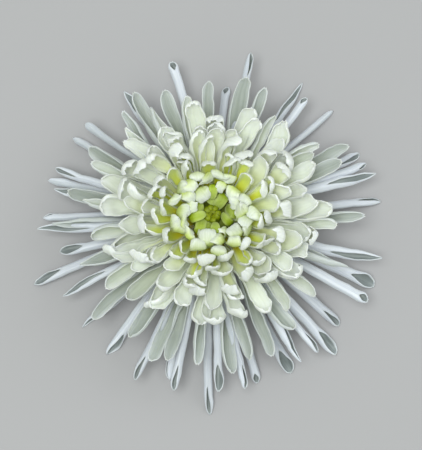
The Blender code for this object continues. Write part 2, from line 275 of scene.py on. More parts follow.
INCURVED_HOODED = (
    (0.0, 0, 0.32, 300, 1), (1.2, 0, 0.49, 272, 1.2), (2.6, 0, 0.70, 254, 1.6),
    (4.0, 0, 0.88, 238, 2.0), (5.2, 0.05, 1.02, 220, 2.2), (6.1, 0.28, 1.05, 200, 2.1),
    (6.6, 0.74, 0.98, 182, 1.9), (6.75, 1.26, 0.83, 168, 1.6), (6.65, 1.66, 0.58, 158, 1.3),
)
HOOD_SMALL = (
    (0.0, 0, 0.44, 300, 1), (1.1, 0, 0.60, 266, 1.2), (2.2, 0, 0.78, 232, 1.5),
    (3.4, 0.02, 0.92, 190, 1.7), (4.3, 0.10, 1.02, 124, 1.7), (4.75, 0.42, 1.08, 70, 1.3),
    (4.95, 1.00, 1.06, 40, 1), (5.0, 1.50, 0.92, 26, 1), (5.0, 1.80, 0.64, 18, 1),
)
HOOD_BROAD = (
    (0.0, 0, 0.44, 300, 1), (1.1, 0, 0.60, 262, 1.2), (2.2, 0, 0.80, 224, 1.5),
    (3.3, 0.02, 0.98, 176, 1.7), (4.2, 0.14, 1.10, 110, 1.6), (4.7, 0.60, 1.18, 56, 1.2),
    (5.0, 1.25, 1.14, 26, 1), (5.2, 1.85, 0.98, 14, 1), (5.3, 2.20, 0.68, 8, 1),
)
STRAPPY = (
    (0.0, 0, 0.78, 240, 1), (1.7, -0.10, 0.90, 204, 1), (3.4, -0.38, 0.99, 160, 1.2),
    (4.8, -0.50, 1.04, 112, 1.2), (5.8, -0.20, 1.04, 76, 1.1), (6.5, 0.45, 1.00, 56, 1),
    (7.0, 1.20, 0.96, 44, 1), (7.4, 1.95, 0.88, 36, 1), (7.65, 2.55, 0.68, 32, 1),
    (7.75, 2.90, 0.36, 30, 1),
)
YOUNG = (
    (0.0, 0, 0.80, 260, 1), (1.8, -0.30, 1.00, 220, 1), (3.4, -0.75, 1.30, 180, 1.3),
    (4.6, -0.85, 1.50, 144, 1.4), (5.4, -0.45, 1.50, 112, 1.3), (6.0, 0.35, 1.36, 90, 1.1),
    (6.35, 1.15, 1.06, 76, 1), (6.5, 1.75, 0.60, 68, 1),
)
BRACT = (
    (0.0, 0, 0.70, 60, 1), (1.0, 0, 0.92, 62, 1), (1.9, 0, 1.00, 60, 1), (2.5, 0.02, 0.80, 56, 1),
    (2.95, 0.06, 0.42, 50, 1), (3.15, 0.1, 0.14, 45, 1),
)

# How thick the petals are, in half widths, and how flat the sections of quills and spoons are
QUILL_WALL = 0.17
SPOON_WALL = 0.18
BROAD_WALL = 0.16
STRAP_WALL = 0.12
YOUNG_WALL = 0.20
BRACT_WALL = 0.30
QUILL_DEPTH = 0.75
SPOON_DEPTH = 0.8


# The layout of the florets
def between(value, rows):
    """The row that lies at value between two rows of a table whose first column rises."""
    for low, high in zip(rows, rows[1:]):
        if value <= high[0]:
            break
    share = (value - low[0]) / (high[0] - low[0])
    return [a + (b - a) * share for a, b in zip(low[1:], high[1:])]


def varied(draw, spread):
    return draw.uniform(1 - spread, 1 + spread)


def at_clock(clock, radius, height):
    angle = math.radians(clock)
    return Vector((radius * math.cos(angle), radius * math.sin(angle), height))


def core_surface(radius):
    """Height of the receptacle's domed top at this radius."""
    out = max(0.0, radius - CORE_FLAT_RADIUS) / (CORE_RADIUS - CORE_FLAT_RADIUS)
    return CORE_TOP - (CORE_TOP - CORE_SIDE) * out * out


class Floret:
    """One floret: root and tip in the bloom's frame, and how it bends and twists between them."""

    def __init__(self, root, tip, half_width, bend, draw):
        self.root = root
        self.tip = tip
        self.half_width = half_width * varied(draw, WIDTH_SPREAD)
        self.sag = math.radians(bend[0])
        self.curl = math.radians(bend[1] * varied(draw, CURL_SPREAD))
        self.twist = math.radians(draw.gauss(0, TWIST_SPREAD))

    def frame(self):
        """The floret's own frame: X along its chord, Y across it, Z out of its inner face. An upright
        floret turns its inner face to the bloom's axis."""
        along = (self.tip - self.root).normalized()
        outward = self.root if along.z > UPRIGHT else along
        across = Vector((0, 0, 1)).cross(outward)
        across = (across - along * across.dot(along)).normalized()
        inner = along.cross(across)
        turn = Matrix((along, across, inner)).transposed().to_4x4()
        return Matrix.Translation(self.root + AXIS) @ turn @ Matrix.Rotation(self.twist, 4, "X")

    def guide(self):
        """The four points of the Bezier curve that the keel follows, in the floret's own frame."""
        chord = (self.tip - self.root).length
        reach = HANDLE * chord
        start = Vector((math.cos(self.sag), 0, -math.sin(self.sag))) * reach
        end = Vector((math.cos(self.curl), 0, math.sin(self.curl))) * reach
        tip = Vector((chord, 0, 0))
        return Vector(), start, tip - end, tip


def bezier(points, t):
    a, b, c, d = points
    u = 1 - t
    return a * u**3 + b * 3 * u * u * t + c * 3 * u * t * t + d * t**3


def guide_length(points):
    steps = [bezier(points, i / GUIDE_STEPS) for i in range(GUIDE_STEPS + 1)]
    return sum((b - a).length for a, b in zip(steps, steps[1:]))


def dome_florets(draw):
    """The dense dome, in a golden-angle spiral from its outer edge to the eye."""
    made = []
    for rank in range(DOME_COUNT):
        inside = DOME_COUNT - rank
        radius, height, half_width, sag, curl = between(inside, DOME_RINGS)
        root_radius = DOME_ROOTS[0] + (DOME_ROOTS[1] - DOME_ROOTS[0]) * math.sqrt(inside / DOME_COUNT)
        clock = rank * GOLDEN_ANGLE
        root = at_clock(clock, root_radius - ROOT_SINK, core_surface(root_radius) - ROOT_SINK)
        tip_clock = clock + draw.gauss(0, CLOCK_SPREAD)
        tip_radius = radius * varied(draw, REACH_SPREAD)
        tip = at_clock(tip_clock, tip_radius, height + draw.uniform(-HEIGHT_SPREAD, HEIGHT_SPREAD))
        made.append(Floret(root, tip, half_width, (sag, curl), draw))
    return made


def tier(places, root_heights, half_width, bend, tip_height, draw):
    """Florets at listed tips. Their roots are spread more evenly than their tips."""
    made = []
    for index, (clock, radius) in enumerate(places):
        even = places[0][0] + 360 * index / len(places)
        root_clock = clock + EVEN_SHARE * ((even - clock + 180) % 360 - 180)
        root = at_clock(root_clock, CORE_RADIUS - ROOT_SINK, root_heights[index % len(root_heights)])
        tip = at_clock(clock, radius, tip_height(radius))
        made.append(Floret(root, tip, half_width, bend, draw))
    return made


def whorls(rows, half_width, bend, draw):
    """Short florets or bracts in rings: count, root radius and height, tip radius and height."""
    made = []
    for row, (count, root_radius, root_height, tip_radius, tip_height) in enumerate(rows):
        for index in range(count):
            clock = 360 * index / count + row * GOLDEN_ANGLE
            root = at_clock(clock, root_radius, root_height)
            tip = at_clock(clock, tip_radius, tip_height)
            made.append(Floret(root, tip, half_width, bend, draw))
    return made


def lowest_tip(radius):
    return LOWEST_QUILL_TIP


def upper_tip(radius):
    return UPPER_QUILL_TIP


def spoon_tip(radius):
    """The spoons' tips go on down the slope of the dome's outer edge."""
    outer_radius, outer_height = DOME_RINGS[-1][1:3]
    return outer_height - SPOON_SLOPE * (radius - outer_radius)


# Selecting and finishing
def take(*pieces):
    """Select these pieces alone. The first is the active one."""
    bpy.ops.object.select_all(action="DESELECT")
    for piece in pieces:
        piece.select_set(True)
    bpy.context.view_layer.objects.active = pieces[0]


def choose(mesh, points):
    """Select these points of the mesh in edit mode, and no others."""
    for point in mesh.verts:
        point.select = False
    for point in points:
        point.select = True
    mesh.select_flush_mode()


def finish_modifiers(piece):
    take(piece)
    for modifier in [m.name for m in piece.modifiers]:
        bpy.ops.object.modifier_apply(modifier=modifier)


# The patterns that petals are copied from: the blade, its length, and the height of a tube's middle,
# which is 0 for an open blade
Pattern = namedtuple("Pattern", "blade along middle")


def cross_section(half, wrap, roll):
    """Places across a blade and above its keel, from the keel to a rim."""
    places = [(0, 0)]
    for lane in range(LANES):
        turn = math.radians(wrap) / 2 * ((lane + 0.5) / LANES) ** roll
        places.append((places[-1][0] + math.cos(turn), places[-1][1] + math.sin(turn)))
    widest = max(across for across, above in places)
    return [(across * half / widest, above * half / widest) for across, above in places]


def shape_row(mesh, grid, rows, index, notch, depth):
    """Spread, lift and lean one row of the flat strip into its section."""
    row = rows[index]
    last = len(rows) - 1
    near = rows[max(index - 1, 0)]
    far = rows[min(index + 1, last)]
    tilt = math.atan2(far.rise - near.rise, far.along - near.along)
    start = 2 * index / last - 1
    section = [(across, above * depth) for across, above in cross_section(row.half, row.wrap, row.roll)]
    for lane, (across, above) in enumerate(section):
        back = notch if index == last and lane != 1 else 0
        shift = (row.along - start - back - above * math.sin(tilt), 0, row.rise + above * math.cos(tilt))
        choose(mesh, [grid[index, lane], grid[index, -lane]])
        if lane:
            bpy.ops.transform.resize(value=(1, across * LANES / lane, 1), center_override=(0, 0, 0))
        bpy.ops.transform.translate(value=shift)


def fold_rim(mesh, grid, rows, fold):
    """Turn one rim in over the face, from the middle of the blade to its tip."""
    first = len(rows) // 2
    for index in range(first, len(rows)):
        eased = min(1, (index - first + 1) / FOLD_ROWS)
        hinge = grid[index, LANES - 2].co.copy()
        choose(mesh, [grid[index, LANES - 1], grid[index, LANES]])
        bpy.ops.transform.rotate(
            value=math.radians(fold) * eased, orient_axis="X", orient_type="GLOBAL", center_override=hinge
        )


def petal_pattern(name, table, wall, notch=0.0, fold=0.0, depth=1.0):
    """A petal of half width 1 along +X, shaped row by row from a flat strip. The notch splits its tip
    into two low teeth, the fold, in degrees, turns one rim in over the face near the tip, and depth
    flattens its section."""
    rows = [Row(*row) for row in table]
    last = len(rows) - 1
    bpy.ops.object.select_all(action="DESELECT")
    bpy.ops.mesh.primitive_grid_add(x_subdivisions=last, y_subdivisions=2 * LANES, size=2)
    blade = bpy.context.object
    blade.name = name
    bpy.ops.object.mode_set(mode="EDIT")
    bpy.ops.mesh.select_mode(type="VERT")
    mesh = bmesh.from_edit_mesh(blade.data)
    grid = {}
    for point in mesh.verts:
        grid[round((point.co.x + 1) / 2 * last), round(point.co.y * LANES)] = point
    for index in range(len(rows)):
        shape_row(mesh, grid, rows, index, notch, depth)
    if fold:
        fold_rim(mesh, grid, rows, fold)
    for index, row in enumerate(rows):
        if row.wrap > CLOSED_WRAP:
            choose(mesh, [grid[index, LANES], grid[index, -LANES]])
            bpy.ops.mesh.merge(type="CENTER")
    choose(mesh, [grid[last, lane] for lane in (-LANES, -1, 1, LANES)])
    bpy.ops.transform.vert_crease(value=1)
    bpy.ops.object.mode_set(mode="OBJECT")

    # One slot for the face and one for the back
    blade.data.materials.append(None)
    blade.data.materials.append(None)
    shell = blade.modifiers.new("Blade", "SOLIDIFY")
    shell.thickness = wall
    shell.offset = 1
    shell.use_even_offset = False
    shell.material_offset = 1
    smooth = blade.modifiers.new("Smooth", "SUBSURF")
    smooth.levels = 1
    smooth.render_levels = 1
    finish_modifiers(blade)
    bpy.ops.object.shade_smooth()
    tube = max(row.wrap for row in rows) > CLOSED_WRAP
    middle = max(row.half for row in rows) * depth if tube else 0.0
    return Pattern(blade, max(row.along for row in rows), middle)


# The curve that each petal in turn is bent along
bpy.ops.object.select_all(action="DESELECT")
bpy.ops.curve.primitive_bezier_curve_add()
guide_curve = bpy.context.object
guide_curve.name = "petal_guide"
guide_curve.data.twist_mode = "Z_UP"
guide_curve.data.resolution_u = GUIDE_STEPS
for knot in guide_curve.data.splines[0].bezier_points:
    knot.handle_left_type = "FREE"
    knot.handle_right_type = "FREE"


def lay_guide(points):
    root, start, end, tip = points
    first, last = guide_curve.data.splines[0].bezier_points
    first.co = root
    first.handle_left = root - (start - root)
    first.handle_right = start
    last.co = tip
    last.handle_left = end
    last.handle_right = tip + (tip - end)


def grow(pattern, floret, sway, twist, lot):
    """A copy of the pattern, sized, twisted, bent along the floret's guide and set in its place. A tube
    twists about its middle, and an open blade about its keel. The lot is a number that tells one
    petal's shade from the next one's."""
    take(pattern.blade)
    bpy.ops.object.duplicate()
    petal = bpy.context.object
    root, start, end, tip = floret.guide()
    side = Vector((0, sway * (tip - root).length, 0))
    points = (root, start + side, end + side, tip)
    middle = pattern.middle * floret.half_width
    petal.scale = (guide_length(points) / pattern.along, floret.half_width, floret.half_width)
    petal.location.z = -middle
    bpy.ops.object.transform_apply()
    turn = petal.modifiers.new("Turn", "SIMPLE_DEFORM")
    turn.deform_method = "TWIST"
    turn.deform_axis = "X"
    turn.angle = twist
    bpy.ops.object.modifier_apply(modifier="Turn")
    petal.location.z = middle
    bpy.ops.object.transform_apply()
    lay_guide(points)
    bend = petal.modifiers.new("Bend", "CURVE")
    bend.object = guide_curve
    bpy.ops.object.modifier_apply(modifier="Bend")
    petal.matrix_world = floret.frame()
    bpy.ops.object.transform_apply()
    shade = petal.data.attributes.new("lot", "FLOAT", "POINT")
    shade.data.foreach_set("value", [lot] * len(petal.data.vertices))
    return petal


def grow_all(florets, patterns, sway, turn, draw):
    """A petal for each floret, from one of the patterns, swaying and turning as the draw has it."""
    made = []
    for floret in florets:
        twist = math.radians(draw.gauss(0, turn))
        made.append(grow(draw.choice(patterns), floret, draw.gauss(0, sway), twist, draw.random()))
    return made


def bunch(name, petals, waves, wave_size, materials, node):
    """Join petals into one piece, give it soft waves and its two finishes, and set it on the frame."""
    for petal in petals:
        for index, material in enumerate(materials):
            petal.data.materials[index] = material
    take(*petals)
    bpy.ops.object.join()
    piece = bpy.context.object
    piece.name = name
    piece.data.name = name
    clouds = bpy.data.textures.new(name + " waves", "CLOUDS")
    clouds.cloud_type = "COLOR"
    clouds.noise_scale = wave_size
    wave = piece.modifiers.new("Waves", "DISPLACE")
    wave.texture = clouds
    wave.texture_coords = "LOCAL"
    wave.direction = "RGB_TO_XYZ"
    wave.strength = waves
    wave.mid_level = 0.5
    finish_modifiers(piece)
    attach(piece, "root")
    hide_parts(node)
    return piece


def rest_on_surface(piece):
    """Press the points under the sole's height together, so that the lowest is on the surface."""
    take(piece)
    bpy.ops.object.mode_set(mode="EDIT")
    mesh = bmesh.from_edit_mesh(piece.data)
    lowest_point = min(point.co.z for point in mesh.verts)
    choose(mesh, [point for point in mesh.verts if point.co.z < SOLE_HEIGHT])
    squeeze = SOLE_HEIGHT / (SOLE_HEIGHT - lowest_point)
    bpy.ops.transform.resize(value=(1, 1, squeeze), center_override=(0, 0, SOLE_HEIGHT))
    bpy.ops.object.mode_set(mode="OBJECT")


def turned_piece(name, profile, material, node):
    """A body turned about the bloom's axis from a profile of radius and height, top down."""
    top_radius, top = profile[0]
    bpy.ops.object.select_all(action="DESELECT")
    bpy.ops.mesh.primitive_circle_add(
        vertices=ROUND_SIDES, radius=top_radius, location=(AXIS.x, AXIS.y, top), fill_type="NGON"
    )
    piece = bpy.context.object
    piece.name = name
    bpy.ops.object.mode_set(mode="EDIT")
    bpy.ops.mesh.select_all(action="SELECT")
    for (near, high), (far, low) in zip(profile, profile[1:]):
        bpy.ops.mesh.extrude_region_move(TRANSFORM_OT_translate={"value": (0, 0, low - high)})
        bpy.ops.transform.resize(value=(far / near, far / near, 1), center_override=(AXIS.x, AXIS.y, low))
    bpy.ops.mesh.select_all(action="SELECT")
    bpy.ops.mesh.normals_make_consistent(inside=False)
    bpy.ops.object.mode_set(mode="OBJECT")
    bpy.ops.object.transform_apply()
    bpy.ops.object.shade_smooth_by_angle(angle=SMOOTH_ANGLE)
    piece.data.materials.append(material)
    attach(piece, "root")
    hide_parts(node)


# Petal skins. The petals' UV runs from the root to the tip in U and from rim to rim in V. The veins are
# noise drawn out along the petal, and each petal's lot shifts it: the veins raise fine ridges and darken
# the colour along them, a painted shade in the grooves. A rim is where V is near 0 or 1, and on the pale
# petals the rims' colour is a painted highlight.
VEIN_LENGTHS = 1.2
VEIN_LANES = 14
VEIN_LOTS = 37
VEIN_FROM = 0.42
VEIN_TO = 0.70
# How far the painted shade of the vein lines darkens a skin at most
VEIN_SHADE_SHARE = 0.45
RIM_END = 0.85
DARKEST_LOT = 0.90
PALEST_LOT = 1.06
RIDGE_HEIGHT = 0.0003
PETAL_SHINE = 0.35
GLOW_COLOUR = (1.0, 1.0, 0.7)
GLOW_DEPTH = 0.002


def new_finish(name, roughness):
    material = bpy.data.materials.new(name)
    material.use_nodes = True
    tree = material.node_tree
    shader = tree.nodes["Principled BSDF"]
    shader.inputs["Roughness"].default_value = roughness
    return material, tree, shader


def reckoned(tree, operation, source, *numbers):
    """A socket's value after one step of arithmetic."""
    step = tree.nodes.new("ShaderNodeMath")
    step.operation = operation
    tree.links.new(source, step.inputs[0])
    for place, number in enumerate(numbers, 1):
        step.inputs[place].default_value = number
    return step.outputs[0]


def carried(tree, source, low, high, least, most, curve="LINEAR"):
    """A socket's value carried from one range to another."""
    step = tree.nodes.new("ShaderNodeMapRange")
    step.interpolation_type = curve
    step.inputs["From Min"].default_value = low
    step.inputs["From Max"].default_value = high
    step.inputs["To Min"].default_value = least
    step.inputs["To Max"].default_value = most
    tree.links.new(source, step.inputs["Value"])
    return step.outputs["Result"]


def tinted(tree, source, share, colour, blend="MIX"):
    """A socket's colour mixed with a plain colour, by the share in another socket."""
    step = tree.nodes.new("ShaderNodeMix")
    step.data_type = "RGBA"
    step.blend_type = blend
    step.inputs["B"].default_value = (*colour, 1)
    tree.links.new(share, step.inputs["Factor"])
    tree.links.new(source, step.inputs["A"])
    return step.outputs["Result"]


def ridged(tree, shader, height, strength):
    """Fine relief on a skin."""
    bump = tree.nodes.new("ShaderNodeBump")
    bump.inputs["Strength"].default_value = strength
    bump.inputs["Distance"].default_value = RIDGE_HEIGHT
    tree.links.new(height, bump.inputs["Height"])
    tree.links.new(bump.outputs["Normal"], shader.inputs["Normal"])


def root_to_tip(tree, along, ramp):
    """Colours that change softly from the root to the tip."""
    colours = tree.nodes.new("ShaderNodeValToRGB")
    colours.color_ramp.interpolation = "B_SPLINE"
    stops = colours.color_ramp.elements
    while len(stops) < len(ramp):
        stops.new(0.5)
    for stop, (place, colour) in zip(stops, ramp):
        stop.position = place
        stop.color = (*colour, 1)
    tree.links.new(along, colours.inputs["Fac"])
    return colours.outputs["Color"]


def vein_noise(tree, along, across, lot):
    place = tree.nodes.new("ShaderNodeCombineXYZ")
    tree.links.new(reckoned(tree, "MULTIPLY", along, VEIN_LENGTHS), place.inputs["X"])
    tree.links.new(reckoned(tree, "MULTIPLY", across, VEIN_LANES), place.inputs["Y"])
    tree.links.new(reckoned(tree, "MULTIPLY", lot, VEIN_LOTS), place.inputs["Z"])
    noise = tree.nodes.new("ShaderNodeTexNoise")
    noise.inputs["Scale"].default_value = 1.0
    noise.inputs["Detail"].default_value = 2.0
    tree.links.new(place.outputs[0], noise.inputs["Vector"])
    return noise.outputs["Fac"]


def petal_finish(name, ramp, rim, rim_share, vein_shade, rim_start=0.3, roughness=0.5, glow=0.4, ridges=0.35,
                 sheen=0.12):
    """Petal skin: colours from root to tip, rims in their own colour (a painted highlight on the pale
    petals), fine veins lengthwise with painted shade along them, each petal a shade apart.
    """
    material, tree, shader = new_finish(name, roughness)
    uv = tree.nodes.new("ShaderNodeUVMap")
    uv.uv_map = "UVMap"
    split = tree.nodes.new("ShaderNodeSeparateXYZ")
    tree.links.new(uv.outputs["UV"], split.inputs[0])
    along = split.outputs["X"]
    across = split.outputs["Y"]
    lot_reader = tree.nodes.new("ShaderNodeAttribute")
    lot_reader.attribute_name = "lot"
    lot = lot_reader.outputs["Fac"]

    colour = root_to_tip(tree, along, ramp)
    off_keel = reckoned(tree, "ABSOLUTE", reckoned(tree, "MULTIPLY_ADD", across, 2, -1))
    # The rims' colour: a painted highlight on the pale petals, and on the bracts and the young florets
    # their own tint
    rim_highlight_and_tint_mask = carried(tree, off_keel, rim_start, RIM_END, 0, rim_share, curve="SMOOTHSTEP")
    colour = tinted(tree, colour, rim_highlight_and_tint_mask, rim)
    veins = vein_noise(tree, along, across, lot)
    # Darker lines along the veins: a painted shade in their grooves
    vein_shade_mask = carried(tree, veins, VEIN_FROM, VEIN_TO, 0, VEIN_SHADE_SHARE)
    colour = tinted(tree, colour, vein_shade_mask, vein_shade, blend="MULTIPLY")
    toned = tree.nodes.new("ShaderNodeHueSaturation")
    tree.links.new(carried(tree, lot, 0, 1, DARKEST_LOT, PALEST_LOT), toned.inputs["Value"])
    tree.links.new(colour, toned.inputs["Color"])
    tree.links.new(toned.outputs["Color"], shader.inputs["Base Color"])
    ridged(tree, shader, veins, strength=ridges)

    shader.inputs["Specular IOR Level"].default_value = PETAL_SHINE
    shader.inputs["Subsurface Weight"].default_value = glow
    shader.inputs["Subsurface Radius"].default_value = GLOW_COLOUR
    shader.inputs["Subsurface Scale"].default_value = GLOW_DEPTH
    shader.inputs["Sheen Weight"].default_value = sheen
    return material


def plain_finish(name, colour, dark, scale, roughness):
    """Green skin of the stem and the receptacle, mottled by a fine noise."""
    material, tree, shader = new_finish(name, roughness)
    place = tree.nodes.new("ShaderNodeTexCoord")
    noise = tree.nodes.new("ShaderNodeTexNoise")
    noise.inputs["Scale"].default_value = scale
    noise.inputs["Detail"].default_value = 5
    tree.links.new(place.outputs["Object"], noise.inputs["Vector"])
    mix = tree.nodes.new("ShaderNodeMix")
    mix.data_type = "RGBA"
    mix.inputs["A"].default_value = (*dark, 1)
    mix.inputs["B"].default_value = (*colour, 1)
    tree.links.new(noise.outputs["Fac"], mix.inputs["Factor"])
    tree.links.new(mix.outputs["Result"], shader.inputs["Base Color"])
    ridged(tree, shader, noise.outputs["Fac"], strength=0.3)
    return material


# The finishes: stops from the root to the tip, the rims' colour and how much of it, and the veins' colour.
# The rims' colour is a painted highlight on the pale petals, and the veins' colour darkens them as painted
# shade.
# The rims' painted highlight on the pale petals' faces
RIM_HIGHLIGHT = (0.84, 0.86, 0.84)
# The quills' faces are painted dark inside the mouth, a painted shade within the tube, and pale at the tip
# and rims, a painted highlight
quill_face = petal_finish(
    "quill face",
    (
        (0.0, (0.50, 0.53, 0.50)), (0.4, (0.41, 0.45, 0.45)), (0.6, (0.16, 0.18, 0.18)),
        (0.90, (0.24, 0.27, 0.28)), (0.97, (0.48, 0.51, 0.53)), (1.0, (0.64, 0.68, 0.70)),
    ),
    rim=(0.66, 0.69, 0.72), rim_share=0.95, vein_shade=(0.55, 0.58, 0.62),
    rim_start=0.6, roughness=0.40, glow=0.15,
)
# The quills' backs: their own cool white, painted grey as well, a painted shade of the light falling off
# at the bloom's edge; the paler rims are a painted highlight
quill_back = petal_finish(
    "quill back",
    (
        (0.0, (0.52, 0.57, 0.52)), (0.3, (0.55, 0.58, 0.62)),
        (0.8, (0.58, 0.62, 0.67)), (1.0, (0.69, 0.73, 0.78)),
    ),
    rim=(0.72, 0.74, 0.81), rim_share=0.6, vein_shade=(0.58, 0.62, 0.67),
    rim_start=0.4, roughness=0.40, glow=0.15, ridges=0.6, sheen=0.3,
)
# The long spoons' faces are painted dark grey in the hollow, a painted shade in the gutter and of the
# light falling off at the bloom's edge, and pale at the tip and rims, a painted highlight
spoon_face = petal_finish(
    "spoon face",
    (
        (0.0, (0.30, 0.34, 0.18)), (0.35, (0.32, 0.35, 0.30)), (0.7, (0.35, 0.38, 0.36)),
        (0.92, (0.48, 0.51, 0.50)), (1.0, (0.70, 0.72, 0.72)),
    ),
    rim=(0.68, 0.71, 0.71), rim_share=0.9, vein_shade=(0.60, 0.64, 0.62),
    rim_start=0.15, glow=0.35, sheen=0.15,
)
# The short spoons' faces carry the same painted shade in the hollow and painted highlight at the rims,
# lighter, as they lie nearer the middle
short_spoon_face = petal_finish(
    "short spoon face",
    (
        (0.0, (0.50, 0.55, 0.26)), (0.35, (0.50, 0.54, 0.42)), (0.7, (0.54, 0.58, 0.51)),
        (0.92, (0.68, 0.71, 0.67)), (1.0, (0.80, 0.82, 0.80)),
    ),
    rim=(0.78, 0.80, 0.78), rim_share=0.85, vein_shade=(0.72, 0.75, 0.70),
    rim_start=0.2, glow=0.35, sheen=0.15,
)
# The spoons' backs are painted grey-green, a painted shade of the light falling off at the bloom's edge
spoon_back = petal_finish(
    "spoon back",
    ((0.0, (0.40, 0.44, 0.32)), (0.4, (0.48, 0.51, 0.50)), (1.0, (0.57, 0.60, 0.60))),
    rim=(0.59, 0.62, 0.62), rim_share=0.6, vein_shade=(0.57, 0.61, 0.58), glow=0.35, sheen=0.3,
)
# The outer dome's faces are painted greyer than the middle ones, a painted shade of the light falling off
# towards the bloom's edge
outer_face = petal_finish(
    "outer face",
    (
        (0.0, (0.75, 0.81, 0.46)), (0.3, (0.76, 0.81, 0.62)), (0.6, (0.78, 0.82, 0.72)),
        (0.82, (0.84, 0.87, 0.82)), (1.0, (0.89, 0.90, 0.88)),
    ),
    rim=(0.86, 0.88, 0.85), rim_share=0.7, vein_shade=(0.86, 0.88, 0.82), rim_start=0.2,
)
# The yellow roots of the middle, dome and throat faces are the petals' own yellow-green, pushed to full
# brightness: a painted glow of light shining through the petals
middle_face = petal_finish(
    "middle face",
    (
        (0.0, (0.90, 0.84, 0.08)), (0.28, (0.88, 0.95, 0.42)), (0.52, (0.89, 0.94, 0.70)),
        (0.78, (0.91, 0.94, 0.86)), (1.0, (0.92, 0.94, 0.91)),
    ),
    rim=RIM_HIGHLIGHT, rim_share=0.8, vein_shade=(0.90, 0.92, 0.84), rim_start=0.2,
)
# Its yellow root, too, is partly a painted glow of light shining through the petals
dome_face = petal_finish(
    "dome face",
    (
        (0.0, (0.92, 0.56, 0.0)), (0.2, (0.93, 0.78, 0.0)), (0.36, (0.82, 0.92, 0.10)),
        (0.58, (0.83, 0.94, 0.34)), (0.82, (0.89, 0.95, 0.67)), (1.0, (0.92, 0.94, 0.89)),
    ),
    rim=RIM_HIGHLIGHT, rim_share=0.8, vein_shade=(0.92, 0.94, 0.80), rim_start=0.2,
)
# The dome's backs are painted darker than its faces, a painted shade on the upturned caps that face the
# light; the faces, down in the hollows between petals, are painted paler, a painted light
dome_back = petal_finish(
    "dome back",
    (
        (0.0, (0.74, 0.80, 0.34)), (0.35, (0.76, 0.80, 0.64)),
        (0.8, (0.75, 0.78, 0.73)), (1.0, (0.76, 0.78, 0.75)),
    ),
    rim=(0.78, 0.79, 0.78), rim_share=0.6, vein_shade=(0.78, 0.81, 0.74),
)
# Its yellow root, too, is partly a painted glow of light shining through the petals
throat_face = petal_finish(
    "throat face",
    (
        (0.0, (0.86, 0.56, 0.0)), (0.18, (0.86, 0.74, 0.0)), (0.42, (0.72, 0.88, 0.02)),
        (0.68, (0.82, 0.91, 0.34)), (1.0, (0.89, 0.92, 0.85)),
    ),
    rim=RIM_HIGHLIGHT, rim_share=0.8, vein_shade=(0.86, 0.90, 0.78),
)
# The throats' backs, too, are painted darker than their faces, a painted shade on the caps that face the
# light
throat_back = petal_finish(
    "throat back",
    (
        (0.0, (0.34, 0.47, 0.0)), (0.3, (0.42, 0.55, 0.0)), (0.5, (0.54, 0.66, 0.10)),
        (0.70, (0.70, 0.76, 0.58)), (1.0, (0.76, 0.79, 0.75)),
    ),
    rim=(0.70, 0.73, 0.64), rim_share=0.3, vein_shade=(0.78, 0.82, 0.70),
)
strappy_face = petal_finish(
    "strappy face",
    (
        (0.0, (0.20, 0.23, 0.0)), (0.4, (0.27, 0.36, 0.0)),
        (0.7, (0.35, 0.47, 0.02)), (1.0, (0.50, 0.60, 0.18)),
    ),
    rim=(0.56, 0.64, 0.30), rim_share=0.7, vein_shade=(0.70, 0.78, 0.40), sheen=0.0,
)
strappy_back = petal_finish(
    "strappy back",
    (
        (0.0, (0.18, 0.26, 0.0)), (0.35, (0.27, 0.38, 0.0)),
        (0.6, (0.36, 0.48, 0.02)), (1.0, (0.50, 0.60, 0.20)),
    ),
    rim=(0.52, 0.61, 0.20), rim_share=0.5, vein_shade=(0.70, 0.78, 0.40), sheen=0.0,
)
# The young florets' own deep green is painted darker still, a painted shade of the narrow cleft in the eye
young_face = petal_finish(
    "young face",
    ((0.0, (0.08, 0.11, 0.0)), (0.5, (0.18, 0.23, 0.0)), (1.0, (0.30, 0.36, 0.0))),
    rim=(0.10, 0.14, 0.0), rim_share=0.85, vein_shade=(0.6, 0.7, 0.2), rim_start=0.5, sheen=0.0,
)
young_back = petal_finish(
    "young back",
    ((0.0, (0.08, 0.11, 0.0)), (0.5, (0.19, 0.24, 0.0)), (1.0, (0.32, 0.38, 0.0))),
    rim=(0.10, 0.14, 0.0), rim_share=0.85, vein_shade=(0.6, 0.7, 0.2), rim_start=0.5, sheen=0.0,
)
bract_skin = petal_finish(
    "bract skin",
    ((0.0, (0.06, 0.13, 0.02)), (0.6, (0.12, 0.22, 0.05)), (1.0, (0.22, 0.30, 0.10))),
    rim=(0.40, 0.42, 0.24), rim_share=0.9, vein_shade=(0.6, 0.75, 0.4), roughness=0.55, glow=0.1,
)
receptacle_skin = plain_finish("receptacle skin", (0.22, 0.27, 0.0), (0.10, 0.14, 0.0), 900, 0.6)
stem_skin = plain_finish("stem skin", (0.20, 0.32, 0.08), (0.10, 0.20, 0.04), 600, 0.5)

# The florets' places, drawn in this order
draw = random.Random(SEED)
lowest = tier(LOWEST_QUILLS, LOWEST_QUILL_ROOTS, QUILL_HALF_WIDTH, LOWEST_QUILL_BEND, lowest_tip, draw)
upper = tier(UPPER_QUILLS, UPPER_QUILL_ROOTS, QUILL_HALF_WIDTH, UPPER_QUILL_BEND, upper_tip, draw)
spoons = tier(SPOONS, SPOON_ROOTS, SPOON_HALF_WIDTH, SPOON_BEND, spoon_tip, draw)
dome = dome_florets(draw)
eye = whorls(EYE_RINGS, EYE_HALF_WIDTH, EYE_BEND, draw)
bracts = whorls(BRACT_RINGS, BRACT_HALF_WIDTH, BRACT_BEND, draw)
short_spoons = [floret for floret in spoons if floret.tip.xy.length < SHORT_SPOON]
long_spoons = [floret for floret in spoons if floret not in short_spoons]
outer = dome[:OUTER_END]
middle = dome[OUTER_END:MIDDLE_END]
throats = dome[MIDDLE_END:THROATS_END]
inner = dome[THROATS_END:INNER_END]
hooded = dome[INNER_END:HOODS_END]
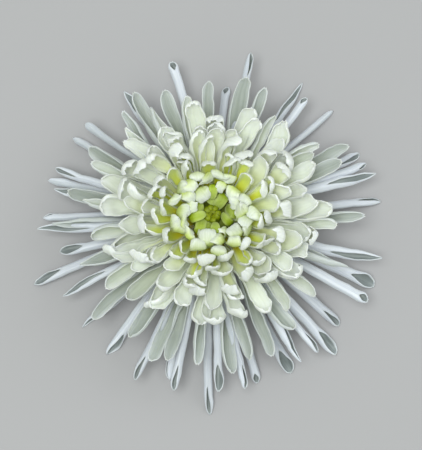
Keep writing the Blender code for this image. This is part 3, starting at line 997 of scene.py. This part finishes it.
green = dome[HOODS_END:]

# The petals' patterns. The first straps are the open ones, and the last are hooked over.
quills = (
    petal_pattern("quill_open", QUILL_OPEN, QUILL_WALL, notch=0.18, fold=28, depth=QUILL_DEPTH),
    petal_pattern("quill_tube", QUILL_TUBE, QUILL_WALL, notch=0.22, depth=QUILL_DEPTH),
    petal_pattern("quill_slit", QUILL_SLIT, QUILL_WALL, notch=0.16, depth=QUILL_DEPTH),
    petal_pattern("quill_pointed", QUILL_POINTED, QUILL_WALL, fold=-30, depth=QUILL_DEPTH),
)
spoon_shapes = (
    petal_pattern("spoon_long", SPOON_LONG, SPOON_WALL, notch=0.20, depth=SPOON_DEPTH),
    petal_pattern("spoon_pointed", SPOON_POINTED, SPOON_WALL, depth=SPOON_DEPTH),
    petal_pattern("spoon_broad", SPOON_BROAD, BROAD_WALL, notch=0.20, depth=SPOON_DEPTH),
    petal_pattern("spoon_tucked", SPOON_BROAD, BROAD_WALL, notch=0.16, fold=22, depth=SPOON_DEPTH),
)
straps = (
    petal_pattern("strap_round", STRAP_ROUND, STRAP_WALL, notch=0.30),
    petal_pattern("strap_flat", STRAP_FLAT, STRAP_WALL, notch=0.26),
    petal_pattern("strap_turned", STRAP_FLAT, STRAP_WALL, notch=0.20, fold=50),
    petal_pattern("strap_tucked", STRAP_ROUND, STRAP_WALL, notch=0.24, fold=36),
    petal_pattern("strap_hooded", STRAP_HOODED, STRAP_WALL, notch=0.28),
    petal_pattern("strap_curled", STRAP_HOODED, STRAP_WALL, notch=0.16, fold=22),
    petal_pattern("strap_hooked", STRAP_HOOKED, STRAP_WALL, notch=0.34),
    petal_pattern("strap_cornered", STRAP_HOOKED, STRAP_WALL, notch=0.26, fold=-45),
)
open_straps = straps[:4]
outer_straps = straps[:6]
incurved = (
    petal_pattern("incurved_round", INCURVED_ROUND, STRAP_WALL, notch=0.14),
    petal_pattern("incurved_hooded", INCURVED_HOODED, STRAP_WALL, notch=0.14),
    petal_pattern("incurved_tucked", INCURVED_ROUND, STRAP_WALL, notch=0.12, fold=30),
)
hoods = (
    petal_pattern("hood_small", HOOD_SMALL, STRAP_WALL, notch=0.22),
    petal_pattern("hood_tucked", HOOD_SMALL, STRAP_WALL, notch=0.16, fold=50),
    petal_pattern("hood_broad", HOOD_BROAD, STRAP_WALL, notch=0.26),
    petal_pattern("hood_turned", HOOD_BROAD, STRAP_WALL, notch=0.18, fold=-40),
)
strappy = (
    petal_pattern("strappy", STRAPPY, STRAP_WALL, notch=0.14),
    petal_pattern("strappy_tucked", STRAPPY, STRAP_WALL, notch=0.14, fold=30),
)
young = (petal_pattern("young", YOUNG, YOUNG_WALL, notch=0.2),)
bract = (petal_pattern("bract", BRACT, BRACT_WALL),)

# The pieces in the order in which they are drawn: name, florets, patterns, sway as a share of the
# petals' length, turn in degrees, depth and breadth of the waves in metres, and the finishes of face
# and back
RAY_PIECES = (
    ("quills_lowest", lowest, quills, 0.02, 40, 0.0008, 0.006, quill_face, quill_back),
    ("quills_upper", upper, quills, 0.02, 40, 0.0010, 0.006, quill_face, quill_back),
    ("long_spoons", long_spoons, spoon_shapes, 0.025, 28, 0.0012, 0.006, spoon_face, spoon_back),
    ("short_spoons", short_spoons, spoon_shapes, 0.03, 28, 0.0016, 0.006, short_spoon_face, spoon_back),
    ("dome_outer", outer, outer_straps, 0.055, 26, 0.0026, 0.006, outer_face, dome_back),
    ("dome_middle", middle, straps, 0.055, 26, 0.0026, 0.006, middle_face, dome_back),
    ("dome_throats", throats, open_straps, 0.05, 24, 0.0022, 0.006, dome_face, dome_back),
    ("dome_inner", inner, incurved, 0.05, 28, 0.0020, 0.0045, throat_face, throat_back),
    ("eye_hoods", hooded, hoods, 0.06, 34, 0.0022, 0.004, throat_face, throat_back),
    ("green_straps", green, strappy, 0.05, 24, 0.0012, 0.006, strappy_face, strappy_back),
)
EYE_PIECES = (("young_florets", eye, young, 0.03, 20, 0.0005, 0.006, young_face, young_back),)
STEM_PIECES = (("bracts", bracts, bract, 0.02, 20, 0.0003, 0.006, bract_skin, bract_skin),)


def grow_pieces(plan, node, draw):
    made = []
    for name, florets, patterns, sway, turn, waves, wave_size, face, back in plan:
        petals = grow_all(florets, patterns, sway, turn, draw)
        made.append(bunch(name, petals, waves, wave_size, (face, back), node))
    return made


fine = random.Random(SEED + 1)
ray_pieces = grow_pieces(RAY_PIECES, "ray_florets", fine)
grow_pieces(EYE_PIECES, "eye_florets", fine)
grow_pieces(STEM_PIECES, "stem_and_bracts", fine)
rest_on_surface(ray_pieces[0])
turned_piece("receptacle", RECEPTACLE_PROFILE, receptacle_skin, "ray_florets")
turned_piece("stem_stub", STEM_PROFILE, stem_skin, "stem_and_bracts")
turned_piece("eye_disc", EYE_PROFILE, receptacle_skin, "eye_florets")

# The patterns and the guide have done their work
for spare in quills + spoon_shapes + straps + incurved + hoods + strappy + young + bract:
    bpy.data.objects.remove(spare.blade)
bpy.data.objects.remove(guide_curve)

# The floor
FLOOR_SIZE = 6
FLOOR_COLOUR = (0.37, 0.36, 0.375)
bpy.ops.object.select_all(action="DESELECT")
bpy.ops.mesh.primitive_plane_add(size=FLOOR_SIZE, location=(0, 0, 0))
floor = bpy.context.object
floor.name = "floor"
floor_paint, _, floor_shader = new_finish("floor paint", 0.8)
floor_shader.inputs["Base Color"].default_value = (*FLOOR_COLOUR, 1)
floor.data.materials.append(floor_paint)

# The light: a soft key nearly overhead, a wide fill from the right and an even studio
LIT_POINT = Vector((0, 0, 0.02))
STUDIO_COLOUR = (0.755, 0.80, 0.755)
STUDIO_STRENGTH = 0.76


def soft_light(name, place, size, power, colour):
    data = bpy.data.lights.new(name, "AREA")
    data.shape = "DISK"
    data.size = size
    data.energy = power
    data.color = colour
    lamp = bpy.data.objects.new(name, data)
    lamp.location = place
    lamp.rotation_euler = (LIT_POINT - Vector(place)).to_track_quat("-Z", "Y").to_euler()
    bpy.context.scene.collection.objects.link(lamp)


soft_light("key", (-0.12, -0.08, 0.85), 0.45, 5.2, (0.95, 1.0, 0.965))
soft_light("fill", (0.65, 0.25, 0.55), 0.6, 1.6, (0.93, 0.97, 1.0))
studio = bpy.data.worlds.new("studio")
studio.use_nodes = True
backdrop = studio.node_tree.nodes["Background"]
backdrop.inputs["Color"].default_value = (*STUDIO_COLOUR, 1)
backdrop.inputs["Strength"].default_value = STUDIO_STRENGTH
bpy.context.scene.world = studio
bpy.context.scene.view_settings.view_transform = "Standard"

# The camera looks almost straight down, from the front. What it sees at the aim is FRAME_HEIGHT high.
VIEW_ELEVATION = math.radians(82)
VIEW_DISTANCE = 0.60
FRAME_HEIGHT = 0.1575
SENSOR = 36
AIM = Vector((0.00115, 0.00174, 0.012))
lens = bpy.data.cameras.new("camera")
lens.lens = SENSOR * VIEW_DISTANCE / FRAME_HEIGHT
camera = bpy.data.objects.new("camera", lens)
camera.location = AIM + VIEW_DISTANCE * Vector((0, -math.cos(VIEW_ELEVATION), math.sin(VIEW_ELEVATION)))
camera.rotation_euler = (math.radians(90) - VIEW_ELEVATION, 0, 0)
bpy.context.scene.collection.objects.link(camera)
bpy.context.scene.camera = camera
